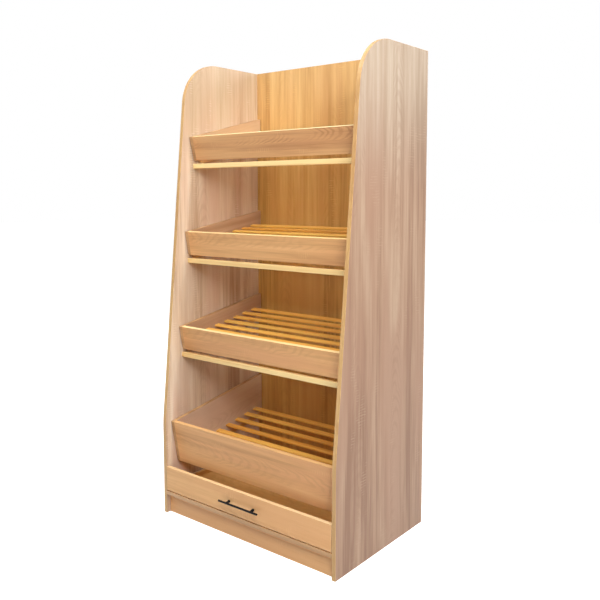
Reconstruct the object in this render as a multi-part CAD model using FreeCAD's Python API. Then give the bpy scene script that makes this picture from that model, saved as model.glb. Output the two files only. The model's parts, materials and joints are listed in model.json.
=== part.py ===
import FreeCAD, Part
import math
import os
from collections import namedtuple

from FreeCAD import Vector

# Bakery bread rack: two side panels whose front edges lean back, a back panel, four slatted
# trays tilted towards the customer, and a crumb drawer on roller runners under them.
#
# Millimetres. X is the width, to the right when facing the rack. Y is the depth, from the
# front to the back. Z is up, and 0 is the floor. The carcass is drawn centred on the origin;
# export() then moves everything back by half of the handle's reach, so that the origin lies
# under the middle of the whole object.

# ------------------------------------------------------------------- driving sizes
WIDTH = 900.0
DEPTH = 600.0
HEIGHT = 1900.0
BOARD = 16.0
BAND = 1.0

LEAN_START = 400.0
LEAN = 0.1
LEAN_BEND_RADIUS = 600.0
TOP_CORNER_RADIUS = 190.0

PLINTH_HEIGHT = 80.0
PLINTH_RECESS = 20.0

STRETCHER = 20.0
STRETCHER_EASE = 1.5
TOP_STRETCHER_LEVEL = 1475.0
STRETCHER_PITCH = 399.0
STRETCHER_SETBACK = 68.0

TOP_TRAY_TILT = 14.0
TRAY_TILT = 10.0
TRAY_ABOVE_STRETCHER = 14.0
TRAY_SETBACK = 70.0
TRAY_HEIGHT = 100.0
TRAY_SLAT_LEVEL = 47.0
TRAY_SLAT_REAR_GAP = 48.0
TRAY_SIDE_GAP = 3.0
TRAY_REAR_GAP = 3.0

BIN_SETBACK = 60.0
BIN_LEVEL = 214.0
BIN_HEIGHT = 180.0
BIN_SLAT_LEVEL = 37.0
BIN_SLAT_REAR_GAP = 39.0

SLAT_WIDTH = 26.0
SLAT_THICKNESS = 8.0
SLAT_EASE = 3.0
SLAT_PITCH = 60.0
BIN_SLAT_PITCH = 62.0
SLAT_TENON = 8.0
SLAT_SOCKET_PLAY = 0.2

BEARER = 20.0
BEARER_START = 26.0
BEARER_EASE = 1.0

DRAWER_LIFT = 5.0
DRAWER_FRONT_HEIGHT = 100.0
DRAWER_SIDE_GAP = 2.0
DRAWER_LENGTH = 500.0
DRAWER_BOX_LEVEL = 104.0
DRAWER_BOX_HEIGHT = 28.0
DRAWER_BOTTOM = 6.0
DRAWER_GROOVE_RISE = 4.0
DRAWER_GROOVE_DEPTH = 8.0
DRAWER_FIXING_RISE = 18.5

RUNNER_SPACE = 12.5
RUNNER_LENGTH = 500.0
RUNNER_SHEET = 1.2
RUNNER_FRONT_GAP = 2.0
RUNNER_TRACK_LEVEL = 108.0
RUNNER_TRACK_HEIGHT = 18.0
RUNNER_LIP = 10.0
ROLLER_WIDTH = 6.0
ROLLER_INSET = 3.6
ROLLER_GAP = 0.3
ROLLER_CHAMFER = 0.5
FRONT_ROLLER_RADIUS = 7.0
REAR_ROLLER_RADIUS = 8.5
ROLLER_PIN_RADIUS = 2.0
ROLLER_BORE_PLAY = 0.08
ROLLER_RIVET_RADIUS = 3.0
ROLLER_END_GAP = 0.2

HANDLE_CENTRES = 128.0
HANDLE_LENGTH = 206.0
HANDLE_RADIUS = 4.0
HANDLE_REACH = 26.0
HANDLE_LEVEL = 151.0
HANDLE_POST_BASE_RADIUS = 6.0
HANDLE_POST_TIP_RADIUS = 2.8

DOWEL_RADIUS = 4.0
DOWEL_LENGTH = 30.0
DOWEL_IN_PANEL = 11.0
CAM_RADIUS = 7.5
CAM_DEPTH = 12.5
CAM_DISTANCE = 34.0
CAM_BOLT_RADIUS = 3.0
CAM_BOLT_IN_PANEL = 11.0
FIXING_PLAY = 0.05

ScrewSize = namedtuple("ScrewSize", "length shank_radius head_radius")
BEARER_SCREW = ScrewSize(30.0, 2.0, 4.0)
BOARD_SCREW = ScrewSize(50.0, 2.5, 4.5)
HANDLE_SCREW = ScrewSize(24.0, 2.0, 4.0)
RUNNER_SCREW = ScrewSize(12.0, 1.75, 3.4)
RUNNER_HEAD_HEIGHT = 1.2
HANDLE_HEAD_HEIGHT = 2.4

# ------------------------------------------------------------------ derived places
INNER = WIDTH / 2 - BOARD
FRONT = -DEPTH / 2
BACK = DEPTH / 2
BACK_FACE = BACK - BOARD
BASE_TOP = PLINTH_HEIGHT + BOARD
ORIGIN_SHIFT = HANDLE_REACH / 2

TRAY_OUTER = INNER - TRAY_SIDE_GAP
TRAY_INNER = TRAY_OUTER - BOARD
TRAY_REAR = BACK_FACE - TRAY_REAR_GAP

DRAWER_FRONT_BOTTOM = BASE_TOP + DRAWER_LIFT
DRAWER_FRONT_TOP = DRAWER_FRONT_BOTTOM + DRAWER_FRONT_HEIGHT
DRAWER_FRONT_HALF = INNER - DRAWER_SIDE_GAP
DRAWER_FRONT_REAR = FRONT + BOARD
DRAWER_REAR = DRAWER_FRONT_REAR + DRAWER_LENGTH
DRAWER_OUTER = INNER - RUNNER_SPACE
DRAWER_INNER = DRAWER_OUTER - BOARD
DRAWER_BOX_TOP = DRAWER_BOX_LEVEL + DRAWER_BOX_HEIGHT
DRAWER_BOTTOM_LEVEL = DRAWER_BOX_LEVEL + DRAWER_GROOVE_RISE

RUNNER_FRONT = DRAWER_FRONT_REAR + RUNNER_FRONT_GAP
RUNNER_REAR = RUNNER_FRONT + RUNNER_LENGTH
FRONT_ROLLER_Y = RUNNER_FRONT + 2 * FRONT_ROLLER_RADIUS
FRONT_ROLLER_Z = RUNNER_TRACK_LEVEL + FRONT_ROLLER_RADIUS + 1.0
REAR_ROLLER_Y = RUNNER_REAR - 1.5 * REAR_ROLLER_RADIUS
REAR_ROLLER_Z = RUNNER_TRACK_LEVEL + REAR_ROLLER_RADIUS + ROLLER_GAP
RIDE_LEVEL = FRONT_ROLLER_Z + FRONT_ROLLER_RADIUS + ROLLER_GAP

Tray = namedtuple("Tray", "name front level tilt height slat_level slat_rear_gap slat_pitch")
SIDES = (("left", -1.0), ("right", 1.0))
Z_AXIS = Vector(0, 0, 1)
X_AXIS = Vector(1, 0, 0)
Y_AXIS = Vector(0, 1, 0)

solids = {}
holes = {}


def lean_front(level):
    """Y of a side panel's leaning front edge at a level above the bend."""
    return FRONT + LEAN * (level - LEAN_START)


def tray_list():
    """The three bread trays over their stretchers, from the top down, and the deep bin."""
    trays = []
    for index in range(3):
        stretcher_level = TOP_STRETCHER_LEVEL - index * STRETCHER_PITCH
        level = stretcher_level + TRAY_ABOVE_STRETCHER
        front = lean_front(level) + TRAY_SETBACK
        tilt = TOP_TRAY_TILT if index == 0 else TRAY_TILT
        trays.append(Tray("tray_%d" % (index + 1), front, level, tilt, TRAY_HEIGHT,
                          TRAY_SLAT_LEVEL, TRAY_SLAT_REAR_GAP, SLAT_PITCH))
    trays.append(Tray("tray_4", FRONT + BIN_SETBACK, BIN_LEVEL, TRAY_TILT, BIN_HEIGHT,
                      BIN_SLAT_LEVEL, BIN_SLAT_REAR_GAP, BIN_SLAT_PITCH))
    return trays


# -------------------------------------------------------------------- bookkeeping
def add(node, *pieces):
    """Put solids into a node."""
    solids.setdefault(node, []).extend(pieces)


def drill(cutter, *nodes):
    """Remember a cutter that is taken out of the named nodes before export."""
    for node in nodes:
        holes.setdefault(node, []).append(cutter)


def export():
    """Cut the holes and write one STEP file for each node."""
    os.makedirs("parts", exist_ok=True)
    shift = Vector(0, ORIGIN_SHIFT, 0)
    for node, pieces in solids.items():
        if node in holes:
            pieces = [part for piece in pieces for part in piece.cut(holes[node]).Solids]
        shape = pieces[0].copy() if len(pieces) == 1 else Part.makeCompound(pieces)
        shape.translate(shift)
        shape.exportStep("parts/%s.step" % node)
        print("%-26s %2d solids  %10.0f mm3" % (node, len(pieces), shape.Volume))


# ------------------------------------------------------------------- basic shapes
def block(x, y, z):
    """Box between two values along each axis."""
    corner = Vector(min(x), min(y), min(z))
    return Part.makeBox(abs(x[1] - x[0]), abs(y[1] - y[0]), abs(z[1] - z[0]), corner)


def rod(start, direction, length, radius):
    """Round rod."""
    return Part.makeCylinder(radius, length, start, direction)


def rounded_face(corners):
    """Face inside a closed outline; each corner is a point and its tangent arc's radius."""
    edges = []
    count = len(corners)
    previous_end = None
    first_start = None
    for index in range(count):
        before = corners[index - 1][0]
        corner, radius = corners[index]
        after = corners[(index + 1) % count][0]
        inward = (before - corner).normalize()
        outward = (after - corner).normalize()
        if radius > 0:
            half_angle = inward.getAngle(outward) / 2
            reach = radius / math.tan(half_angle)
            start = corner + inward * reach
            end = corner + outward * reach
            bisector = (inward + outward).normalize()
            centre = corner + bisector * (radius / math.sin(half_angle))
            middle = centre - bisector * radius
        else:
            start = end = corner
        if previous_end is not None:
            edges.append(Part.makeLine(previous_end, start))
        else:
            first_start = start
        if radius > 0:
            edges.append(Part.Arc(start, middle, end).toShape())
        previous_end = end
    edges.append(Part.makeLine(previous_end, first_start))
    return Part.Face(Part.Wire(edges))


def eased_lath(x, y, z, ease):
    """Lath along X whose four long edges are rounded."""
    start = min(x)
    corners = [(Vector(start, y[0], z[0]), ease),
               (Vector(start, y[1], z[0]), ease),
               (Vector(start, y[1], z[1]), ease),
               (Vector(start, y[0], z[1]), ease)]
    return rounded_face(corners).extrude(Vector(abs(x[1] - x[0]), 0, 0))


# ----------------------------------------------------------------------- fixings
def screw(head, direction, size, play=0.0):
    """Countersunk screw: a cone that narrows to the shank, its head's face at a point."""
    cone_height = size.head_radius - size.shank_radius
    cone = Part.makeCone(size.head_radius + play, size.shank_radius + play, cone_height,
                         head, direction)
    return cone.fuse(rod(head, direction, size.length, size.shank_radius + play))


def flat_screw(seat, direction, size, head_height, play=0.0):
    """Screw whose flat head stands on the surface at a point."""
    shank = rod(seat, direction, size.length, size.shank_radius + play)
    return shank.fuse(rod(seat, direction * -1, head_height, size.head_radius))


def add_screw(node, head, direction, size, *boards):
    """Countersunk screw, with its hole in each board that it goes through."""
    add(node, screw(head, direction, size))
    drill(screw(head, direction, size, FIXING_PLAY), *boards)


def add_dowel(node, joint, direction, *boards):
    """Wooden dowel across a joint; direction points into the side panel."""
    start = joint - direction * (DOWEL_LENGTH - DOWEL_IN_PANEL)
    add(node, rod(start, direction, DOWEL_LENGTH, DOWEL_RADIUS))
    drill(rod(start, direction, DOWEL_LENGTH, DOWEL_RADIUS + FIXING_PLAY), *boards)


def add_cam(node, joint, direction, mouth, bore_direction, bored_board, faced_board):
    """Cam fitting: a bolt across the joint, drawn tight by a cam sunk in the bored board.

    joint lies on the bolt's axis where the boards meet, direction points into the faced
    board, and mouth is where the cam's axis comes out of the bored board's face.
    """
    length = CAM_DISTANCE + CAM_BOLT_IN_PANEL
    start = joint - direction * CAM_DISTANCE
    bolt_hole = rod(start, direction, length, CAM_BOLT_RADIUS + FIXING_PLAY)
    cam = rod(mouth, bore_direction, CAM_DEPTH, CAM_RADIUS).cut(bolt_hole)
    add(node, rod(start, direction, length, CAM_BOLT_RADIUS), cam)
    cam_hole = rod(mouth, bore_direction, CAM_DEPTH, CAM_RADIUS + FIXING_PLAY)
    drill(cam_hole, bored_board)
    drill(bolt_hole, bored_board, faced_board)


# ----------------------------------------------------------------------- carcass
def side_profile(x, inset):
    """Face of a side panel at x, its front and top edges drawn in by inset."""
    stretch = math.hypot(1.0, LEAN)
    bend_z = LEAN_START + inset * (1.0 - stretch) / LEAN
    top_z = HEIGHT - inset
    top_y = lean_front(top_z) + inset * stretch
    corners = [(Vector(x, FRONT + inset, 0), 0.0),
               (Vector(x, FRONT + inset, bend_z), LEAN_BEND_RADIUS - inset),
               (Vector(x, top_y, top_z), TOP_CORNER_RADIUS - inset),
               (Vector(x, BACK, top_z), 0.0),
               (Vector(x, BACK, 0), 0.0)]
    return rounded_face(corners)


def make_side_panels():
    """Both side panels, and the bands along their front and top edges."""
    for side, sign in SIDES:
        start = -WIDTH / 2 if sign < 0 else INNER
        thickness = Vector(BOARD, 0, 0)
        whole = side_profile(start, 0.0).extrude(thickness)
        core = side_profile(start, BAND).extrude(thickness)
        add(side + "_side_panel", core)
        add(side + "_panel_edge_band", whole.cut(core))


def make_fixed_boards():
    """Back panel, base board and plinth between the side panels."""
    across = (-INNER, INNER)
    add("back_panel", block(across, (BACK_FACE, BACK), (0, HEIGHT - BAND)))
    add("base_board", block(across, (FRONT + BAND, BACK_FACE), (PLINTH_HEIGHT, BASE_TOP)))
    plinth_front = FRONT + PLINTH_RECESS
    add("plinth_board", block(across, (plinth_front, plinth_front + BOARD), (0, PLINTH_HEIGHT)))
    add("board_edge_bands",
        block(across, (BACK_FACE, BACK), (HEIGHT - BAND, HEIGHT)),
        block(across, (FRONT, FRONT + BAND), (PLINTH_HEIGHT, BASE_TOP)))


def make_stretchers():
    """Pale laths that tie the side panels together under the three bread trays."""
    for index, name in enumerate(("top", "middle", "lower")):
        node = name + "_stretcher"
        top = TOP_STRETCHER_LEVEL - index * STRETCHER_PITCH
        front = lean_front(top + TRAY_ABOVE_STRETCHER) + STRETCHER_SETBACK
        add(node, eased_lath((-INNER, INNER), (front, front + STRETCHER),
                             (top - STRETCHER, top), STRETCHER_EASE))
        for side, sign in SIDES:
            joint = Vector(sign * INNER, front + STRETCHER / 2, top - STRETCHER / 2)
            add_dowel("carcass_dowels", joint, X_AXIS * sign, node, side + "_side_panel")


def make_carcass_fixings():
    """Dowels and cam fittings that hold the boards between the side panels."""
    plinth_y = FRONT + PLINTH_RECESS + BOARD / 2
    base_z = PLINTH_HEIGHT + BOARD / 2
    back_y = BACK - BOARD / 2
    for side, sign in SIDES:
        panel = side + "_side_panel"
        into_panel = X_AXIS * sign
        face = sign * INNER
        cam_x = sign * (INNER - CAM_DISTANCE)
        for level in (25.0, 55.0):
            add_dowel("carcass_dowels", Vector(face, plinth_y, level), into_panel,
                      "plinth_board", panel)
        for depth in (-230.0, 210.0):
            add_dowel("carcass_dowels", Vector(face, depth, base_z), into_panel,
                      "base_board", panel)
        for depth in (-190.0, 170.0):
            add_cam("carcass_cam_fittings", Vector(face, depth, base_z), into_panel,
                    Vector(cam_x, depth, PLINTH_HEIGHT), Z_AXIS, "base_board", panel)
        for level in (160.0, 620.0, 1180.0, 1740.0):
            add_cam("carcass_cam_fittings", Vector(face, back_y, level), into_panel,
                    Vector(cam_x, BACK, level), Y_AXIS * -1, "back_panel", panel)
            add_dowel("carcass_dowels", Vector(face, back_y, level + 60.0), into_panel,
                      "back_panel", panel)


# ------------------------------------------------------------------------- trays
def place_in_rack(shape, tray):
    """Tilt a shape about the tray's bottom front edge and carry it to its place."""
    placed = shape.copy()
    placed.rotate(Vector(0, 0, 0), X_AXIS, tray.tilt)
    placed.translate(Vector(0, tray.front, tray.level))
    return placed


def in_front_of(shape, rear):
    """What is left of a shape in front of a plane across the depth."""
    span = 2 * HEIGHT
    return shape.common(block((-span, span), (rear - span, rear), (-span, span))).Solids[0]


def tray_side_solids(tray, x):
    """Side board core, its top band and the band on its front end; its rear is upright."""
    length = DEPTH
    core = block(x, (BAND, length), (0, tray.height - BAND))
    top_band = block(x, (BAND, length), (tray.height - BAND, tray.height))
    end_band = block(x, (0, BAND), (0, tray.height))
    placed = [place_in_rack(shape, tray) for shape in (core, top_band, end_band)]
    return [in_front_of(shape, TRAY_REAR) for shape in placed]


def slat_positions(tray):
    """Distances of the slats' back edges from the tray's front, the rearmost first.

    As many slats as the pitch allows lie between the rearmost one and the front board.
    """
    tilt = math.radians(tray.tilt)
    rear_y = BACK_FACE - tray.slat_rear_gap
    rear = (rear_y - tray.front + tray.slat_level * math.sin(tilt)) / math.cos(tilt)
    count = int((rear - BOARD - SLAT_WIDTH) / tray.slat_pitch) + 1
    return [rear - index * tray.slat_pitch for index in range(count)]


def make_tray(tray):
    """Tray: side boards, the front board between them, and slats let into the side boards."""
    bands = tray.name + "_edge_bands"
    slats = tray.name + "_slats"
    screws = tray.name + "_screws"
    front_board = tray.name + "_front_board"
    across = (-TRAY_INNER, TRAY_INNER)
    board_top = (tray.height - BAND, tray.height)
    add(front_board, place_in_rack(block(across, (0, BOARD), (0, tray.height - BAND)), tray))
    add(bands, place_in_rack(block(across, (0, BOARD), board_top), tray))
    side_boards = []
    for side, sign in SIDES:
        node = "%s_%s_side" % (tray.name, side)
        side_boards.append(node)
        core, top_band, end_band = tray_side_solids(tray, (sign * TRAY_INNER, sign * TRAY_OUTER))
        add(node, core)
        add(bands, top_band, end_band)
        rows = 2 if tray.height == TRAY_HEIGHT else 3
        for row in range(rows):
            level = tray.height * (row + 0.5) / rows
            head = Vector(sign * TRAY_OUTER, BOARD / 2, level)
            add(screws, place_in_rack(screw(head, X_AXIS * -sign, BOARD_SCREW), tray))
            cutter = screw(head, X_AXIS * -sign, BOARD_SCREW, FIXING_PLAY)
            drill(place_in_rack(cutter, tray), node, front_board)
    half = TRAY_INNER + SLAT_TENON
    level = (tray.slat_level - SLAT_THICKNESS, tray.slat_level)
    play = SLAT_SOCKET_PLAY
    socket_level = (level[0] - play, level[1] + play)
    for rear in slat_positions(tray):
        depth = (rear - SLAT_WIDTH, rear)
        add(slats, place_in_rack(eased_lath((-half, half), depth, level, SLAT_EASE), tray))
        socket_depth = (depth[0] - play, depth[1] + play)
        socket = eased_lath((-half, half), socket_depth, socket_level, SLAT_EASE + play)
        drill(place_in_rack(socket, tray), *side_boards)


def make_bearers(tray):
    """Pair of laths on the side panels that carry a tray, and the screws through them."""
    node = tray.name + "_bearers"
    length = DEPTH
    for side, sign in SIDES:
        x = (sign * INNER, sign * (INNER - BEARER))
        lath = block(x, (BEARER_START, length), (-BEARER, 0))
        placed = in_front_of(place_in_rack(lath, tray), TRAY_REAR)
        add(node, placed.makeFillet(BEARER_EASE, inner_long_edges(placed, x[1])))
        run = (TRAY_REAR - tray.front) / math.cos(math.radians(tray.tilt))
        for share in (0.16, 0.53, 0.9):
            head = Vector(x[1], run * share, -BEARER / 2)
            direction = X_AXIS * sign
            add("side_panel_screws", place_in_rack(screw(head, direction, BEARER_SCREW), tray))
            cutter = place_in_rack(screw(head, direction, BEARER_SCREW, FIXING_PLAY), tray)
            drill(cutter, node, side + "_side_panel")


def inner_long_edges(shape, x):
    """The two longest edges that lie in the plane at x."""
    near = [edge for edge in shape.Edges
            if all(abs(vertex.X - x) < BAND / 10 for vertex in edge.Vertexes)]
    near.sort(key=lambda edge: edge.Length)
    return near[-2:]


# ------------------------------------------------------------------------ drawer
def make_drawer_box():
    """Drawer front with its edge band, two sides, back, and the bottom in its grooves."""
    half = DRAWER_FRONT_HALF
    depth = (FRONT, DRAWER_FRONT_REAR)
    whole = block((-half, half), depth, (DRAWER_FRONT_BOTTOM, DRAWER_FRONT_TOP))
    core = block((BAND - half, half - BAND), depth,
                 (DRAWER_FRONT_BOTTOM + BAND, DRAWER_FRONT_TOP - BAND))
    add("drawer_front", core)
    add("drawer_front_edge_band", whole.cut(core))
    side_depth = (DRAWER_FRONT_REAR, DRAWER_REAR)
    for side, sign in SIDES:
        add("drawer_%s_side" % side,
            block((sign * DRAWER_INNER, sign * DRAWER_OUTER), side_depth,
                  (DRAWER_BOX_LEVEL, DRAWER_BOX_TOP)))
    back_depth = (DRAWER_REAR - BOARD, DRAWER_REAR)
    add("drawer_back", block((-DRAWER_INNER, DRAWER_INNER), back_depth,
                             (DRAWER_BOX_LEVEL, DRAWER_BOX_TOP)))
    bottom_half = DRAWER_INNER + DRAWER_GROOVE_DEPTH
    bottom = block((-bottom_half, bottom_half),
                   (DRAWER_FRONT_REAR - DRAWER_GROOVE_DEPTH, back_depth[0] + DRAWER_GROOVE_DEPTH),
                   (DRAWER_BOTTOM_LEVEL, DRAWER_BOTTOM_LEVEL + DRAWER_BOTTOM))
    add("drawer_bottom", bottom)
    drill(bottom, "drawer_front", "drawer_left_side", "drawer_right_side", "drawer_back")


def make_drawer_fittings():
    """Cam fittings between front and sides, and screws through the sides into the back."""
    node = "drawer_fittings"
    axis_x = DRAWER_INNER + BOARD / 2
    back_y = DRAWER_REAR - BOARD / 2
    level = DRAWER_BOX_LEVEL + DRAWER_FIXING_RISE
    for side, sign in SIDES:
        board = "drawer_%s_side" % side
        add_cam(node, Vector(sign * axis_x, DRAWER_FRONT_REAR, level), Y_AXIS * -1,
                Vector(sign * DRAWER_INNER, DRAWER_FRONT_REAR + CAM_DISTANCE, level),
                X_AXIS * sign, board, "drawer_front")
        add_screw(node, Vector(sign * DRAWER_OUTER, back_y, level), X_AXIS * -sign,
                  BOARD_SCREW, board, "drawer_back")


def make_handle():
    """Bar handle on two tapered posts, screwed on from inside the drawer front."""
    bar_y = FRONT - HANDLE_REACH + HANDLE_RADIUS
    start = Vector(-HANDLE_LENGTH / 2, bar_y, HANDLE_LEVEL)
    bar = rod(start, X_AXIS, HANDLE_LENGTH, HANDLE_RADIUS)
    bar = bar.makeChamfer(HANDLE_RADIUS / 4, [edge for edge in bar.Edges if edge.isClosed()
                                              and abs(edge.CenterOfMass.x) > HANDLE_LENGTH / 3])
    handle = bar
    for sign in (-1.0, 1.0):
        base = Vector(sign * HANDLE_CENTRES / 2, FRONT, HANDLE_LEVEL)
        post = Part.makeCone(HANDLE_POST_BASE_RADIUS, HANDLE_POST_TIP_RADIUS,
                             HANDLE_REACH - HANDLE_RADIUS, base, Y_AXIS * -1)
        handle = handle.fuse(post)
        seat = base + Y_AXIS * BOARD
        into_post = Y_AXIS * -1
        add("handle_screws", flat_screw(seat, into_post, HANDLE_SCREW, HANDLE_HEAD_HEIGHT))
        cutter = rod(seat, into_post, HANDLE_SCREW.length,
                     HANDLE_SCREW.shank_radius + FIXING_PLAY)
        drill(cutter, "drawer_front", "drawer_handle")
    add("drawer_handle", handle)


# ----------------------------------------------------------------------- runners
def across_runner(sign, inset):
    """X at a distance from a side panel's inner face, towards the drawer."""
    return sign * (INNER - inset)


def make_cabinet_runner(side, sign):
    """Channel on the side panel, with the pin of its front roller."""
    node = side + "_cabinet_runner"
    low = RUNNER_TRACK_LEVEL
    high = low + RUNNER_TRACK_HEIGHT
    run = (RUNNER_FRONT, RUNNER_REAR)
    web_x = (across_runner(sign, 0), across_runner(sign, RUNNER_SHEET))
    lip_x = (across_runner(sign, 0), across_runner(sign, RUNNER_LIP))
    web = block(web_x, run, (low - RUNNER_SHEET, high + RUNNER_SHEET))
    bottom_lip = block(lip_x, run, (low - RUNNER_SHEET, low))
    top_lip = block(lip_x, run, (high, high + RUNNER_SHEET))
    pin_foot = Vector(across_runner(sign, 0), FRONT_ROLLER_Y, FRONT_ROLLER_Z)
    channel = web.fuse([bottom_lip, top_lip, roller_pin(pin_foot, X_AXIS * -sign)])
    add(node, channel.removeSplitter().Solids[0])
    seat_x = across_runner(sign, RUNNER_SHEET)
    for depth in (-180.0, 20.0, 170.0):
        seat = Vector(seat_x, depth, low + RUNNER_TRACK_HEIGHT / 2)
        direction = X_AXIS * sign
        add("side_panel_screws", flat_screw(seat, direction, RUNNER_SCREW, RUNNER_HEAD_HEIGHT))
        cutter = rod(seat, direction, RUNNER_SCREW.length,
                     RUNNER_SCREW.shank_radius + FIXING_PLAY)
        drill(cutter, node, side + "_side_panel")


def roller_pin(foot, direction):
    """Pin that a roller turns on: a collar behind the roller and a rivet head before it."""
    roller_end = ROLLER_INSET + ROLLER_WIDTH
    pin = rod(foot, direction, roller_end + ROLLER_END_GAP + 0.8, ROLLER_PIN_RADIUS)
    collar = rod(foot, direction, ROLLER_INSET - ROLLER_END_GAP, ROLLER_RIVET_RADIUS)
    head_start = foot + direction * (roller_end + ROLLER_END_GAP)
    head = rod(head_start, direction, 0.8, ROLLER_RIVET_RADIUS)
    return pin.fuse([collar, head])


def make_drawer_runner(side, sign):
    """Rail on the drawer side: it wraps its bottom edge, rides on the front roller and
    carries the rear roller's pin.
    """
    node = side + "_drawer_runner"
    outer = RUNNER_SPACE - RUNNER_SHEET
    box_low = DRAWER_BOX_LEVEL - RUNNER_SHEET
    run = (RUNNER_FRONT, RUNNER_REAR)
    web_x = (across_runner(sign, outer), across_runner(sign, RUNNER_SPACE))
    web = block(web_x, run, (box_low, RIDE_LEVEL + RUNNER_SHEET))
    wrap_x = (across_runner(sign, outer), across_runner(sign, RUNNER_SPACE + 0.75 * BOARD))
    wrap = block(wrap_x, run, (box_low, DRAWER_BOX_LEVEL))
    rail_x = (across_runner(sign, 4.0), across_runner(sign, RUNNER_SPACE))
    rail_end = REAR_ROLLER_Y - REAR_ROLLER_RADIUS - 5.0
    rail = block(rail_x, (RUNNER_FRONT, rail_end), (RIDE_LEVEL, RIDE_LEVEL + RUNNER_SHEET))
    pin_foot = Vector(across_runner(sign, outer + RUNNER_SHEET), REAR_ROLLER_Y, REAR_ROLLER_Z)
    pin = rear_roller_pin(pin_foot, X_AXIS * sign)
    add(node, web.fuse([wrap, rail, pin]).removeSplitter().Solids[0])
    screw_x = across_runner(sign, RUNNER_SPACE + BOARD / 3)
    for depth in (-200.0, 0.0, 180.0):
        seat = Vector(screw_x, depth, box_low)
        add("drawer_fittings", flat_screw(seat, Z_AXIS, RUNNER_SCREW, RUNNER_HEAD_HEIGHT))
        cutter = rod(seat, Z_AXIS, RUNNER_SCREW.length,
                     RUNNER_SCREW.shank_radius + FIXING_PLAY)
        drill(cutter, node, "drawer_%s_side" % side)


def rear_roller_pin(foot, direction):
    """The rear roller's pin, from the drawer rail out towards the side panel."""
    collar_length = RUNNER_SPACE - ROLLER_INSET - ROLLER_WIDTH - ROLLER_END_GAP
    head_offset = RUNNER_SPACE - ROLLER_INSET + ROLLER_END_GAP
    head_height = 0.6
    pin = rod(foot, direction, head_offset + head_height, ROLLER_PIN_RADIUS)
    collar = rod(foot, direction, collar_length, ROLLER_RIVET_RADIUS)
    head = rod(foot + direction * head_offset, direction, head_height, ROLLER_RIVET_RADIUS)
    return pin.fuse([collar, head])


def make_roller(node, sign, depth, level, radius):
    """Roller with chamfered rims and a running bore."""
    start_x = across_runner(sign, ROLLER_INSET)
    start = Vector(start_x, depth, level)
    direction = X_AXIS * -sign
    wheel = rod(start, direction, ROLLER_WIDTH, radius)
    rims = [edge for edge in wheel.Edges if edge.isClosed()]
    wheel = wheel.makeChamfer(ROLLER_CHAMFER, rims)
    bore = rod(start, direction, ROLLER_WIDTH, ROLLER_PIN_RADIUS + ROLLER_BORE_PLAY)
    add(node, wheel.cut(bore).Solids[0])


def make_runners():
    """Roller runners of both sides."""
    for side, sign in SIDES:
        make_cabinet_runner(side, sign)
        make_drawer_runner(side, sign)
        make_roller(side + "_front_roller", sign, FRONT_ROLLER_Y, FRONT_ROLLER_Z,
                    FRONT_ROLLER_RADIUS)
        make_roller(side + "_rear_roller", sign, REAR_ROLLER_Y, REAR_ROLLER_Z,
                    REAR_ROLLER_RADIUS)


make_side_panels()
make_fixed_boards()
make_stretchers()
make_carcass_fixings()
for rack_tray in tray_list():
    make_bearers(rack_tray)
    make_tray(rack_tray)
make_drawer_box()
make_drawer_fittings()
make_handle()
make_runners()
export()
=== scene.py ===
import json
import logging
import math
from dataclasses import dataclass
from enum import Enum

import bpy
import numpy as np
from mathutils import Matrix, Vector


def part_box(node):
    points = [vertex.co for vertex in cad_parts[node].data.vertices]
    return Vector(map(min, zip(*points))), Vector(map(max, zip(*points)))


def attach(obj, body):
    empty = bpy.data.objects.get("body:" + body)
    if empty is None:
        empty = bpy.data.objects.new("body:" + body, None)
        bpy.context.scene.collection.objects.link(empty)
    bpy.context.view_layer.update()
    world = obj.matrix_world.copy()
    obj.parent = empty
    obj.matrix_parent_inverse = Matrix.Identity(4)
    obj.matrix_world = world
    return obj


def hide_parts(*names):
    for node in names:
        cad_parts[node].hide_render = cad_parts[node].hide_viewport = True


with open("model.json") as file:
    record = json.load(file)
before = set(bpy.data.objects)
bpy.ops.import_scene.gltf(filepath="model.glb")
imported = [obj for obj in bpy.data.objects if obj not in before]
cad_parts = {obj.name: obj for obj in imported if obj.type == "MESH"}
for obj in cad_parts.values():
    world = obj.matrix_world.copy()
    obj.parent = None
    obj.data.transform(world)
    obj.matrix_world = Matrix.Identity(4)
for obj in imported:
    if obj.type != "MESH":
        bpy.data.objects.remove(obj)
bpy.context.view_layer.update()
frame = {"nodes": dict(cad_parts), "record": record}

# Looks of a bakery bread rack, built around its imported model. Lengths are metres: X across the
# rack, Y from its open front to its back, Z up. MM turns the maker's millimetres into metres.
MM = 0.001
BAND_EASE = 0.4  # rounding of an edge band as a share of its thickness
CORNER_LOSS = 0.95  # share of their rounding that a bar's long edges lose towards its ends
LOG = logging.getLogger("bread_rack")

Array = np.ndarray
Rings = np.ndarray  # (rings, points around, 3), closed by a face at either end
Rgb = tuple[int, int, int]
Point = tuple[float, float, float]
Corner = Point | Vector | Array
Socket = bpy.types.NodeSocket
Value = Socket | float | tuple
Material = bpy.types.Material
Object = bpy.types.Object


class Grain(Enum):
    """Axis along which the grain of a board or lath runs."""

    ACROSS = 0
    DEPTH = 1
    UPRIGHT = 2


class Side(Enum):
    """Side of the rack, with the sign of its X."""

    LEFT = -1
    RIGHT = 1

    @property
    def word(self) -> str:
        """The side's name as node names have it."""
        return self.name.lower()


@dataclass(frozen=True)
class Lay:
    """How a board lies: its grain, its tilt about X in degrees, and the shift of its print."""

    grain: Grain = Grain.ACROSS
    tilt: float = 0.0
    offset: Point = (0.0, 0.0, 0.0)


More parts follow.
